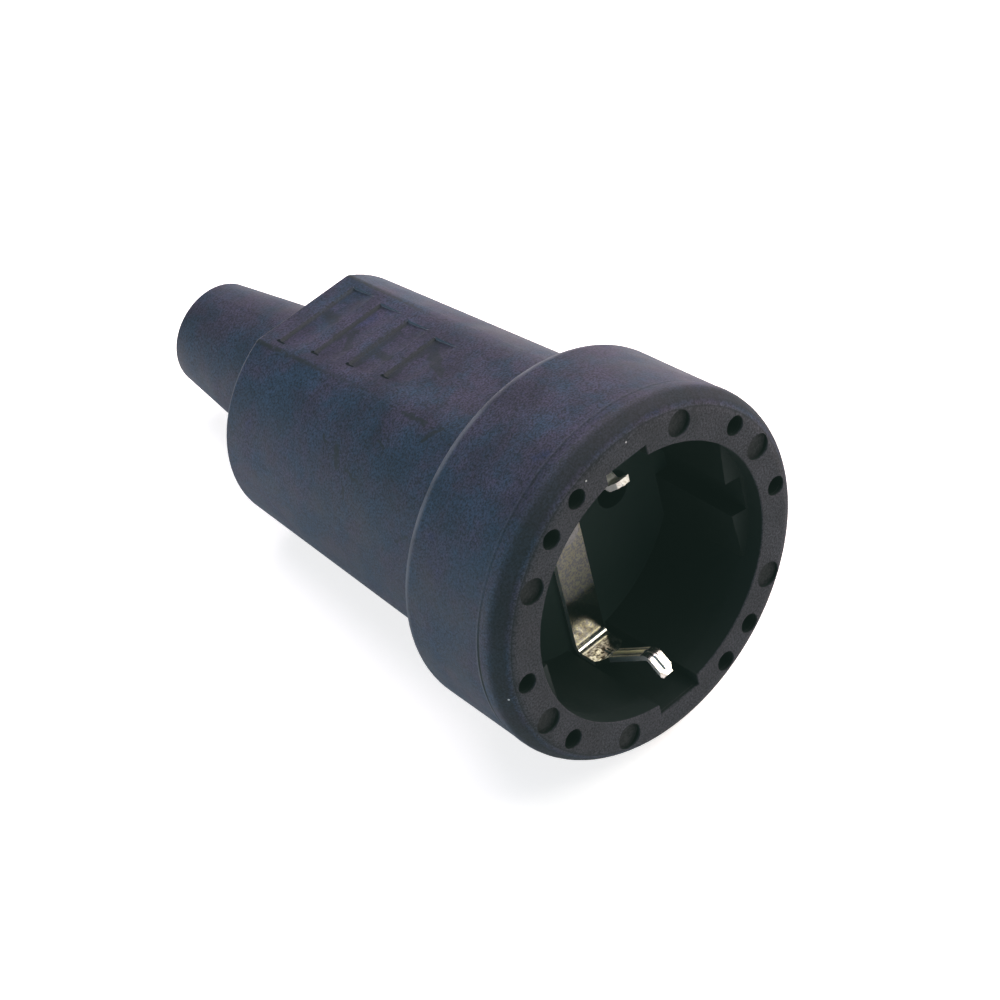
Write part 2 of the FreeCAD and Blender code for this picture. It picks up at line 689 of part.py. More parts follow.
def contact_carrier():
    body = new_body("contact_carrier")
    profile = sketch_on(body, "carrier_profile", "YZ_Plane")
    outline(profile, [("recess_depth", "0"), ("recess_depth", FLANGE_RADIUS),
                      (FLANGE_REAR, FLANGE_RADIUS), (FLANGE_REAR, CARRIER_RADIUS),
                      (CARRIER_REAR, CARRIER_RADIUS), (CARRIER_REAR, "0")])
    revolve(body, "carrier", profile)
    key = across(body, "key_section", FLANGE_REAR)
    key_outline(key, "0")
    extrude(body, "key", key, f"{CARRIER_REAR} - {FLANGE_REAR}", "PartDesign::Pad", back=True)
    pins = across(body, "pin_hole_outline", "recess_depth")
    chambers = across(body, "chamber_outline", CARRIER_REAR)
    access = sketch_on(body, "access_outline", "XY_Plane")
    for sign in SIDES.values():
        circle(pins, (f"{sign} * {HALF_PITCH}", "0"), "pin_bore_radius + pin_hole_clearance")
        circle(chambers, (f"{sign} * {HALF_PITCH}", "0"), "sleeve_radius + sleeve_clearance")
        circle(access, (f"{sign} * {HALF_PITCH}", TERMINAL_PLACE),
               "terminal_head_radius + terminal_access_clearance")
    extrude(body, "pin_holes", pins, "pin_hole_length")
    extrude(body, "chambers", chambers, "carrier_length - pin_hole_length", back=True)
    extrude(body, "access_holes", access, CARRIER_RADIUS, back=True)
    centre = across(body, "stud_hole_outline", "recess_depth")
    circle(centre, ("0", "0"), STUD_HOLE_RADIUS)
    extrude(body, "stud_hole", centre, "carrier_length")


def contact_cover():
    body = new_body("contact_cover")
    plate = sketch_on(body, "plate_profile", "YZ_Plane")
    outline(plate, [(CARRIER_REAR, "0"), (CARRIER_REAR, CARRIER_RADIUS),
                    (COVER_REAR, CARRIER_RADIUS), (COVER_REAR, "0")])
    revolve(body, "plate", plate)
    base = across(body, "saddle_floor_outline", COVER_REAR)
    floor_top = "-(saddle_floor_height - saddle_floor)"
    outline(base, [("-saddle_floor_half_width", "-saddle_floor_height"),
                   ("saddle_floor_half_width", "-saddle_floor_height"),
                   ("saddle_floor_half_width", floor_top), ("-saddle_floor_half_width", floor_top)])
    floor_length = f"{SADDLE_REAR} - {COVER_REAR}"
    extrude(body, "saddle_floor_tongue", base, floor_length, "PartDesign::Pad", back=True)
    saddle = across(body, "saddle_outline", SADDLE_FRONT)
    outline(saddle, [(f"-{SADDLE_HALF_WIDTH}", "0"), (f"-{SADDLE_HALF_WIDTH}", "-saddle_side_height"),
                     ("-saddle_floor_half_width", "-saddle_floor_height"),
                     ("saddle_floor_half_width", "-saddle_floor_height"),
                     (SADDLE_HALF_WIDTH, "-saddle_side_height"), (SADDLE_HALF_WIDTH, "0")])
    extrude(body, "saddle", saddle, SADDLE_LENGTH, "PartDesign::Pad", back=True)
    channel = across(body, "channel_outline", SADDLE_FRONT)
    circle(channel, ("0", "0"), "cable_bore_radius")
    extrude(body, "channel", channel, SADDLE_LENGTH)
    holes = across(body, "wire_hole_outline", CARRIER_REAR)
    for sign in SIDES.values():
        circle(holes, (f"{sign} * {HALF_PITCH}", "0"), "wire_hole_radius")
    circle(holes, ("0", "0"), STUD_HOLE_RADIUS)
    extrude(body, "wire_holes", holes, "cover_thickness")
    pilots = sketch_on(body, "pilot_outline", "XY_Plane")
    for sign in SIDES.values():
        circle(pilots, (f"{sign} * {CLAMP_SCREW_OFFSET}", CLAMP_MIDDLE),
               "clamp_screw_radius + thread_clearance")
    extrude(body, "pilots", pilots, "clamp_screw_reach + clamp_hole_radius / 2")


# Contact sleeves, their springs and screws

def contact_sleeve(side, sign):
    body = new_body(f"contact_sleeve_{side}")
    place = f"{sign} * {HALF_PITCH}"
    groove_front = f"{CHAMBER_FRONT} + spring_setback"
    groove_rear = f"{groove_front} + spring_width"
    groove_floor = f"{SPRING_RADIUS} - thread_clearance"
    wire_end = f"({CARRIER_REAR} - terminal_bore_depth)"
    bore_end = f"({wire_end} - sleeve_web)"
    profile = sketch_on(body, f"sleeve_{side}_profile", "YZ_Plane", place)
    outline(profile, [(CHAMBER_FRONT, "pin_bore_radius"), (CHAMBER_FRONT, "sleeve_radius"),
                      (groove_front, "sleeve_radius"), (groove_front, groove_floor),
                      (groove_rear, groove_floor), (groove_rear, "sleeve_radius"),
                      (CARRIER_REAR, "sleeve_radius"), (CARRIER_REAR, "terminal_bore_radius"),
                      (wire_end, "terminal_bore_radius"), (wire_end, "0"), (bore_end, "0"),
                      (bore_end, "pin_bore_radius")])
    revolve(body, f"sleeve_{side}", profile)
    slot = sketch_on(body, f"sleeve_slot_{side}_outline", "YZ_Plane", place)
    slot_rear = f"{CHAMBER_FRONT} + sleeve_slot_length"
    outline(slot, [(CHAMBER_FRONT, "-sleeve_slot / 2"), (slot_rear, "-sleeve_slot / 2"),
                   (slot_rear, "sleeve_slot / 2"), (CHAMBER_FRONT, "sleeve_slot / 2")])
    extrude(body, f"sleeve_slot_{side}", slot, "3 * sleeve_radius", both=True)
    thread = sketch_on(body, f"terminal_thread_{side}_outline", "XY_Plane")
    circle(thread, (place, TERMINAL_PLACE), "terminal_screw_radius")
    extrude(body, f"terminal_thread_{side}", thread, "2 * sleeve_radius", back=True)


def sleeve_spring(side, sign):
    body = new_body(f"sleeve_spring_{side}")
    place = f"{sign} * {HALF_PITCH}"
    front = f"{CHAMBER_FRONT} + spring_setback + thread_clearance"
    rear = f"{CHAMBER_FRONT} + spring_setback + spring_width - thread_clearance"
    outer = f"{SPRING_RADIUS} + spring_wall"
    profile = sketch_on(body, f"spring_{side}_profile", "YZ_Plane", place)
    outline(profile, [(front, SPRING_RADIUS), (front, outer), (rear, outer), (rear, SPRING_RADIUS)])
    revolve(body, f"spring_{side}", profile)
    gap = sketch_on(body, f"spring_gap_{side}_outline", "XY_Plane")
    outline(gap, [(f"{place} - spring_gap / 2", front), (f"{place} + spring_gap / 2", front),
                  (f"{place} + spring_gap / 2", rear), (f"{place} - spring_gap / 2", rear)])
    extrude(body, f"spring_gap_{side}", gap, "2 * sleeve_radius", back=True)


def slotted_screw(name, shank, head, place, slot_along):
    """Upright cheese-head screw; shank and head give radius, foot and length along Z."""
    stem = cylinder(f"{name}_stem", shank[0], shank[2], (place[0], place[1], shank[1]), "Z")
    cap = cylinder(f"{name}_cap", head[0], head[2], (place[0], place[1], head[1]), "Z")
    run = f"(2 * {head[0]})"
    length, width = (run, "screw_slot") if slot_along == "X" else ("screw_slot", run)
    foot = f"{head[1]} + {head[2]} - screw_slot"
    corner = (f"{place[0]} - {length} / 2", f"{place[1]} - {width} / 2", foot)
    slot = box(f"{name}_slot", (length, width, "screw_slot"), corner)
    return cut(f"{name}_screw", fuse(f"{name}_blank", [stem, cap]), slot)


def terminal_screws():
    seat = "(sleeve_radius + thread_clearance)"
    shank = ("terminal_screw_radius - thread_clearance", "terminal_screw_tip",
             f"{seat} - terminal_screw_tip")
    head = ("terminal_head_radius", seat, "terminal_head_height")
    screws = []
    for side, sign in SIDES.items():
        place = (f"{sign} * {HALF_PITCH}", TERMINAL_PLACE)
        screws.append(slotted_screw(f"terminal_{side}", shank, head, place, "X"))
    pair = doc.addObject("Part::Compound", "terminal_pair")
    pair.Links = screws
    keep("terminal_screws", pair)


# Earth strip

def earth_strip():
    body = new_body("earth_strip")
    level = "recess_depth - strip_thickness / 2"
    root = (f"({STRIP_SHOULDER} - tongue_root)", ARM_HEIGHT)
    apex = ("tongue_apex_depth", APEX_HEIGHT)
    tip = ("tongue_tip_depth", TIP_HEIGHT)
    section = sketch_on(body, "strip_section", "XY_Plane")
    half = "strip_width / 2"
    outline(section, [(f"-{half}", STRIP_FRONT), (half, STRIP_FRONT),
                      (half, "recess_depth"), (f"-{half}", "recess_depth")])
    path = sketch_on(body, "strip_path", "YZ_Plane")
    bent_path(path, [(level, "0"), (level, ARM_HEIGHT), root, apex, tip],
              ["strip_bend", "tongue_root_bend", "tongue_apex_bend"])
    band = sweep(body, "band", section, path)
    rib = sweep(body, "rib", rib_section(body), rib_path(body, root, apex, tip))

    other_half = body.newObject("PartDesign::Mirrored", "strip_other_half")
    other_half.Originals = [band, rib]
    plane = next(feature for feature in body.Origin.OriginFeatures if feature.Role == "XY_Plane")
    other_half.MirrorPlane = (plane, [""])
    body.Tip = other_half
    trim = sketch_on(body, "tongue_outline", "XY_Plane")
    for sign in ("-", ""):
        outline(trim, [(f"{sign}{x}", y) for x, y in beside_tongue()])
    extrude(body, "tongue_sides", trim, f"4 * {ARM_HEIGHT}", both=True)
    hole = across(body, "strip_hole_outline", STRIP_FRONT)
    circle(hole, ("0", "0"), STUD_HOLE_RADIUS)
    extrude(body, "strip_hole", hole, "strip_thickness")


def rib_section(body):
    """Half-round stiffening rib, its round side towards the axis."""
    sketch = across(body, "rib_section", RIB_ROOT)
    ends = [("-rib_radius", ARM_HEIGHT), ("rib_radius", ARM_HEIGHT)]
    middle = FreeCAD.Vector(0, value(f"{ARM_HEIGHT} - rib_radius"), 0)
    crown = sketch.addGeometry(Part.Arc(point(ends[0]), middle, point(ends[1])))
    back = line(sketch, ends[1], ends[0])
    for end, place in ((1, ends[1]), (2, ends[0])):
        hold(sketch, back, end, place)
        sketch.addConstraint(Sketcher.Constraint(
            "Coincident", back, end, crown, near_end(sketch, crown, point(place))))
    centre = Sketcher.Constraint("DistanceY", -1, 1, crown, 3, value(ARM_HEIGHT))
    sketch.setExpression(f"Constraints[{sketch.addConstraint(centre)}]", bound(ARM_HEIGHT))
    return sketch


def rib_path(body, root, apex, tip):
    """Middle line of the tongue, from behind the shoulder to just short of the tip."""
    end_depth = f"({tip[0]} + rib_setback)"
    rise = f"({tip[1]} - {apex[1]}) / ({apex[0]} - {tip[0]})"
    end_height = f"({tip[1]} - {rise} * rib_setback)"
    sketch = sketch_on(body, "rib_path", "YZ_Plane")
    bent_path(sketch, [(RIB_ROOT, ARM_HEIGHT), root, apex, (end_depth, end_height)],
              ["tongue_root_bend", "tongue_apex_bend"])
    return sketch


def beside_tongue():
    """Outline of the strip cut away on the right of a tongue."""
    half = "(tongue_width / 2)"
    narrow = f"({half} - tongue_tip_corner)"
    outside = "(strip_width / 2 + strip_thickness)"
    front = "(tongue_tip_depth - strip_thickness)"
    return [("(strip_width / 2)", STRIP_SHOULDER), (half, f"({STRIP_SHOULDER} - tongue_taper)"),
            (half, "(tongue_tip_depth + tongue_tip_corner)"), (narrow, "tongue_tip_depth"),
            (narrow, front), (outside, front), (outside, STRIP_SHOULDER)]


# Earth stud, washer and nut

def earth_fixing():
    head_front = f"({STRIP_FRONT} - stud_head_height)"
    head_radius = "(stud_radius + stud_head_lip)"
    stud_rear = f"({SADDLE_FRONT} + stud_end)"

    stud = new_body("earth_stud")
    profile = sketch_on(stud, "stud_profile", "YZ_Plane")
    outline(profile, [(head_front, "0"), (head_front, head_radius), (STRIP_FRONT, head_radius),
                      (STRIP_FRONT, "stud_radius"), (stud_rear, "stud_radius"), (stud_rear, "0")])
    revolve(stud, "stud_blank", profile)

    place = ("0", COVER_REAR, "0")
    disc = cylinder("washer_disc", "washer_radius", "washer_thickness", place, "Y")
    eye = cylinder("washer_eye", STUD_HOLE_RADIUS, "washer_thickness", place, "Y")
    keep("earth_washer", cut("washer_ring", disc, eye))

    nut = new_body("earth_nut")
    hexagon = across(nut, "nut_outline", WASHER_REAR)
    corner = "(nut_across_flats / sqrt(3))"
    turns = range(0, FULL_TURN, FULL_TURN // NUT_SIDES)
    outline(hexagon, [(f"{corner} * cos({turn} deg)", f"{corner} * sin({turn} deg)") for turn in turns])
    extrude(nut, "nut_blank", hexagon, "nut_height", "PartDesign::Pad", back=True)
    thread = across(nut, "nut_thread_outline", WASHER_REAR)
    circle(thread, ("0", "0"), "stud_radius + thread_clearance")
    extrude(nut, "nut_thread", thread, "nut_height")


# Cord clamp

def cord_clamp():
    body = new_body("cord_clamp")
    bridge = across(body, "bridge_outline", CLAMP_FRONT)
    half = SADDLE_HALF_WIDTH
    lug = "clamp_lug_height"
    outline(bridge, [(f"-{half}", "0"), (half, "0"), (half, lug), (f"-{half}", lug)])
    extrude(body, "bridge", bridge, "clamp_length", "PartDesign::Pad", back=True)
    arch = across(body, "arch_outline", CLAMP_FRONT)
    outer = "cable_bore_radius + clamp_arch"
    crown = arch.addGeometry(Part.ArcOfCircle(
        Part.Circle(FreeCAD.Vector(), FreeCAD.Vector(0, 0, 1), value(outer)), 0, math.pi))
    foot = line(arch, (f"-({outer})", "0"), (outer, "0"))
    arch.addConstraint(Sketcher.Constraint("Coincident", crown, 3, -1, 1))
    arch.addConstraint(Sketcher.Constraint("Coincident", crown, 2, foot, 1))
    arch.addConstraint(Sketcher.Constraint("Coincident", foot, 2, crown, 1))
    arch.addConstraint(Sketcher.Constraint("PointOnObject", crown, 1, -1))
    arch.addConstraint(Sketcher.Constraint("PointOnObject", crown, 2, -1))
    set_radius(arch, crown, outer)
    extrude(body, "arch", arch, "clamp_length", "PartDesign::Pad", back=True)
    bore = across(body, "clamp_bore_outline", CLAMP_FRONT)
    circle(bore, ("0", "0"), "cable_bore_radius")
    extrude(body, "clamp_bore", bore, "clamp_length")
    holes = sketch_on(body, "clamp_hole_outline", "XY_Plane")
    for sign in SIDES.values():
        circle(holes, (f"{sign} * {CLAMP_SCREW_OFFSET}", CLAMP_MIDDLE), "clamp_hole_radius")
    extrude(body, "clamp_holes", holes, "clamp_lug_height", back=True)


def cord_clamp_screws():
    shank = ("clamp_screw_radius", "-clamp_screw_reach", "clamp_screw_reach + clamp_lug_height")
    head = ("clamp_head_radius", "clamp_lug_height", "clamp_head_height")
    screws = []
    for side, sign in SIDES.items():
        place = (f"{sign} * {CLAMP_SCREW_OFFSET}", CLAMP_MIDDLE)
        screws.append(slotted_screw(f"clamp_{side}", shank, head, place, "Y"))
    pair = doc.addObject("Part::Compound", "clamp_pair")
    pair.Links = screws
    keep("cord_clamp_screws", pair)


# Lying pose: the socket rests on the head's rear shoulder and the body's lower rear edge

def contact_angle(front, rear):
    """Tilt of the floor that touches two round edges, each a depth, a drop and a radius."""
    run = rear[0] - front[0]
    rise = front[1] - rear[1]
    return math.atan2(rise, run) - math.asin((rear[2] - front[2]) / math.hypot(run, rise))


def rest_placement(housing):
    taper = math.atan2(value("head_draft"), value(f"{HEAD_REAR} - rim_setback"))
    flat_fall = value(f"{FLAT_FRONT_HEIGHT} - {FLAT_REAR_HEIGHT}")
    fall = math.atan2(flat_fall, value(f"{BODY_REAR} - {HEAD_REAR}"))
    shoulder = value("shoulder_rounding")
    edge = value("rear_edge_rounding")
    shoulder_drop = value(HEAD_REAR_RADIUS) + shoulder * math.tan(taper) - shoulder / math.cos(taper)
    edge_drop = value(FLAT_REAR_HEIGHT) + edge * math.tan(fall) - edge / math.cos(fall)
    rear = (value(BODY_REAR) - edge, edge_drop, edge)
    fronts = [(value(HEAD_REAR) - shoulder, shoulder_drop, shoulder),
              (value("rim_setback"), value(RIM_RADIUS), 0.0)]
    tilt = max(contact_angle(front, rear) for front in fronts)
    turn = FreeCAD.Rotation(FreeCAD.Vector(1, 0, 0), -math.degrees(tilt))
    lying = housing.Shape.copy()
    lying.Placement = FreeCAD.Placement(FreeCAD.Vector(), turn)
    extent = lying.optimalBoundingBox()
    return FreeCAD.Placement(FreeCAD.Vector(-extent.Center.x, -extent.Center.y, -extent.ZMin), turn)


rubber_housing()
contact_carrier()
contact_cover()
for side_name, side_sign in SIDES.items():
    contact_sleeve(side_name, side_sign)
    sleeve_spring(side_name, side_sign)
terminal_screws()
earth_strip()
earth_fixing()
cord_clamp()
cord_clamp_screws()
doc.recompute()

for item in doc.Objects:
    if "Invalid" in item.State or "Error" in item.State:
        raise RuntimeError(f"{item.Label} failed: {item.State}")
for label, item in nodes.items():
    if item.Shape.isNull() or not item.Shape.isValid():
        raise RuntimeError(f"{label} has no valid shape")

rest = rest_placement(nodes["rubber_housing"])
os.makedirs("parts", exist_ok=True)
for label, item in nodes.items():
    item.Placement = rest.multiply(item.Placement)
    item.Shape.exportStep(f"parts/{label}.step")
print(f"{len(nodes)} pieces, tilt {math.degrees(rest.Rotation.Angle):.2f} degrees, base {rest.Base}")
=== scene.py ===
import json
import bpy
import bmesh
from mathutils import Matrix, Vector

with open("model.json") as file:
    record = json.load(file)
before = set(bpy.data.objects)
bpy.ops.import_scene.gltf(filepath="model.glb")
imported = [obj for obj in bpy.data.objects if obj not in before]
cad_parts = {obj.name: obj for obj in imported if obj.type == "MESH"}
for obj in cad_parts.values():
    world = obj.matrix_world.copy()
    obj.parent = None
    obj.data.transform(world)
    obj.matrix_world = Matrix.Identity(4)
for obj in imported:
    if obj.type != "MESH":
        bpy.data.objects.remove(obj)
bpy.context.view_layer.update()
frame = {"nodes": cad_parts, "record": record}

nodes = frame["nodes"]
mounts = {mount["name"]: mount for mount in frame["record"]["mounts"]}
millimetre = 0.001


# The socket's own axes: face centre, X to the right pin, Y back to the neck, Z to the upper clip
def findSocketAxes():
    left = Vector(mounts["pin_socket_left"]["pos_m"])
    right = Vector(mounts["pin_socket_right"]["pos_m"])
    face = Vector(mounts["front_face"]["pos_m"])
    rearward = -Vector(mounts["pin_socket_left"]["axis"]).normalized()
    sideways = (right - left).normalized()
    upward = sideways.cross(rearward)
    middle = (left + right) / 2
    axes = Matrix((sideways, rearward, upward)).transposed().to_4x4()
    axes.translation = middle + rearward * rearward.dot(face - middle)
    return axes


socketAxes = findSocketAxes()
print("frame loaded:", len(nodes), "CAD nodes")


# Node tree helpers
def addNode(tree, kind, sockets=None, **settings):
    node = tree.nodes.new("ShaderNode" + kind)
    for name, value in settings.items():
        setattr(node, name, value)
    for name, value in (sockets or {}).items():
        feed(tree, node.inputs[name], value)
    return node


def feed(tree, socket, value):
    if isinstance(value, bpy.types.NodeSocket):
        tree.links.new(value, socket)
    else:
        socket.default_value = value


def compute(tree, operation, *values, clamp=False):
    node = addNode(tree, "Math", operation=operation, use_clamp=clamp)
    for index, value in enumerate(values):
        feed(tree, node.inputs[index], value)
    return node.outputs[0]


def vectors(tree, operation, first, second, output="Vector"):
    node = addNode(tree, "VectorMath", {0: first, 1: second}, operation=operation)
    return node.outputs[output]


def scaleVector(tree, vector, factor):
    node = addNode(tree, "VectorMath", {0: vector, "Scale": factor}, operation="SCALE")
    return node.outputs["Vector"]


def every(tree, *masks):
    result = masks[0]
    for mask in masks[1:]:
        result = compute(tree, "MULTIPLY", result, mask)
    return result


def either(tree, *masks):
    result = masks[0]
    for mask in masks[1:]:
        result = compute(tree, "MAXIMUM", result, mask)
    return result


def mixColours(tree, share, first, second, blend="MIX"):
    node = addNode(tree, "Mix", data_type="RGBA", blend_type=blend)
    feed(tree, node.inputs[0], share)
    feed(tree, node.inputs[6], first)  # 6 and 7 are the colour sockets
    feed(tree, node.inputs[7], second)
    return node.outputs[2]


# From one value at the low edge to the other at the high edge
def ramp(tree, value, low, high, fromValue=0.0, toValue=1.0):
    node = addNode(tree, "MapRange", interpolation_type="SMOOTHSTEP")
    for name, number in (("Value", value), ("From Min", low), ("From Max", high),
                         ("To Min", fromValue), ("To Max", toValue)):
        feed(tree, node.inputs[name], number)
    return node.outputs[0]


# 1 below the low edge, 0 above the high edge
def fade(tree, value, low, high):
    return ramp(tree, value, low, high, 1.0, 0.0)


# Rises over the first two edges and falls over the last two
def between(tree, value, riseStart, riseEnd, fallStart, fallEnd):
    return every(tree, ramp(tree, value, riseStart, riseEnd), fade(tree, value, fallStart, fallEnd))


# 1 within a half width of a middle, fading out over a soft edge
def band(tree, value, middle, halfWidth, soft):
    away = compute(tree, "ABSOLUTE", compute(tree, "SUBTRACT", value, middle))
    return fade(tree, away, halfWidth, halfWidth + soft)


def noise(tree, vector, scale, detail=2.0, roughness=0.5, output="Fac"):
    sockets = {"Vector": vector, "Scale": scale, "Detail": detail, "Roughness": roughness}
    return addNode(tree, "TexNoise", sockets).outputs[output]


def newGroup(name, inputs, outputs):
    tree = bpy.data.node_groups.new(name, "ShaderNodeTree")
    for socketName, kind, default in inputs:
        socket = tree.interface.new_socket(socketName, in_out="INPUT", socket_type="NodeSocket" + kind)
        if default is not None:
            socket.default_value = default
    for socketName, kind in outputs:
        tree.interface.new_socket(socketName, in_out="OUTPUT", socket_type="NodeSocket" + kind)
    return tree, tree.nodes.new("NodeGroupInput").outputs, tree.nodes.new("NodeGroupOutput").inputs


def placeGroup(tree, group, **sockets):
    return addNode(tree, "Group", sockets, node_tree=group).outputs


def newMaterial(name):
    material = bpy.data.materials.new(name)
    material.use_nodes = True
    tree = material.node_tree
    return material, tree, tree.nodes["Principled BSDF"]


def addBump(tree, shader, height, strength, depth):
    bump = addNode(tree, "Bump", {"Height": height, "Strength": strength, "Distance": depth * millimetre})
    feed(tree, shader.inputs["Normal"], bump.outputs[0])


# Places on the socket in its own axes, in millimetres
def makeSocketPlaces():
    tree, given, result = newGroup("socketPlaces", [("Place", "Vector", None)],
                                   [("Own", "Vector"), ("Across", "Float"), ("Depth", "Float"),
                                    ("Height", "Float"), ("Radius", "Float")])
    own = addNode(tree, "Mapping", {"Vector": given["Place"]}, vector_type="TEXTURE")
    own.inputs["Location"].default_value = socketAxes.translation
    own.inputs["Rotation"].default_value = socketAxes.to_euler()
    own.inputs["Scale"].default_value = (millimetre,) * 3
    parts = addNode(tree, "SeparateXYZ", {"Vector": own.outputs[0]}).outputs
    squares = [compute(tree, "MULTIPLY", parts[axis], parts[axis]) for axis in ("X", "Z")]
    radius = compute(tree, "SQRT", compute(tree, "ADD", *squares))
    for name, value in (("Own", own.outputs[0]), ("Across", parts["X"]), ("Depth", parts["Y"]),
                        ("Height", parts["Z"]), ("Radius", radius)):
        tree.links.new(value, result[name])
    return tree


# Noise detail and roughness of each layer, the flecks' scale beside the grain's, and a shift between layers
grainLook = {"grain": (3.0, 0.6), "cloud": (4.0, 0.6), "tint": (3.0, 0.6), "fleck": (2.0, 0.6),
             "fleckScale": 0.35, "shift": (31.0, 17.0, 53.0)}


# Surface texture: a fine grain, soft clouds of tone, and two sizes of tint
def makeSurfaceGrain(look):
    tree, given, result = newGroup("surfaceGrain",
                                   [("Own", "Vector", None), ("Grain", "Float", 3.0),
                                    ("Cloud", "Float", 0.1)],
                                   [("Grain", "Float"), ("Cloud", "Float"), ("Tint", "Float"),
                                    ("Fleck", "Float")])
    own = given["Own"]
    shifted = vectors(tree, "ADD", own, look["shift"])
    fleckScale = compute(tree, "MULTIPLY", given["Grain"], look["fleckScale"])
    tree.links.new(noise(tree, own, given["Grain"], *look["grain"]), result["Grain"])
    tree.links.new(noise(tree, own, given["Cloud"], *look["cloud"]), result["Cloud"])
    tree.links.new(noise(tree, shifted, given["Cloud"], *look["tint"]), result["Tint"])
    tree.links.new(noise(tree, shifted, fleckScale, *look["fleck"]), result["Fleck"])
    return tree


# 1 along a straight stroke, with a soft edge as wide as the stroke's half width
def makeStroke():
    tree, given, result = newGroup("stroke", [("Own", "Vector", None), ("Start", "Vector", None),
                                              ("End", "Vector", None), ("HalfWidth", "Float", 0.2)],
                                   [("Mask", "Float")])
    along = vectors(tree, "SUBTRACT", given["End"], given["Start"])
    reach = vectors(tree, "SUBTRACT", given["Own"], given["Start"])
    share = compute(tree, "DIVIDE", vectors(tree, "DOT_PRODUCT", reach, along, "Value"),
                    vectors(tree, "DOT_PRODUCT", along, along, "Value"), clamp=True)
    away = vectors(tree, "DISTANCE", reach, scaleVector(tree, along, share), "Value")
    outer = compute(tree, "MULTIPLY", given["HalfWidth"], 2.0)
    tree.links.new(fade(tree, away, given["HalfWidth"], outer), result["Mask"])
    return tree


socketPlaces = makeSocketPlaces()
surfaceGrain = makeSurfaceGrain(grainLook)
stroke = makeStroke()
print("shared effects made")


def findPlaces(tree):
    return placeGroup(tree, socketPlaces, Place=addNode(tree, "TexCoord").outputs["Object"])


def drawStroke(tree, own, start, end, halfWidth):
    return placeGroup(tree, stroke, Own=own, Start=start, End=end, HalfWidth=halfWidth)["Mask"]


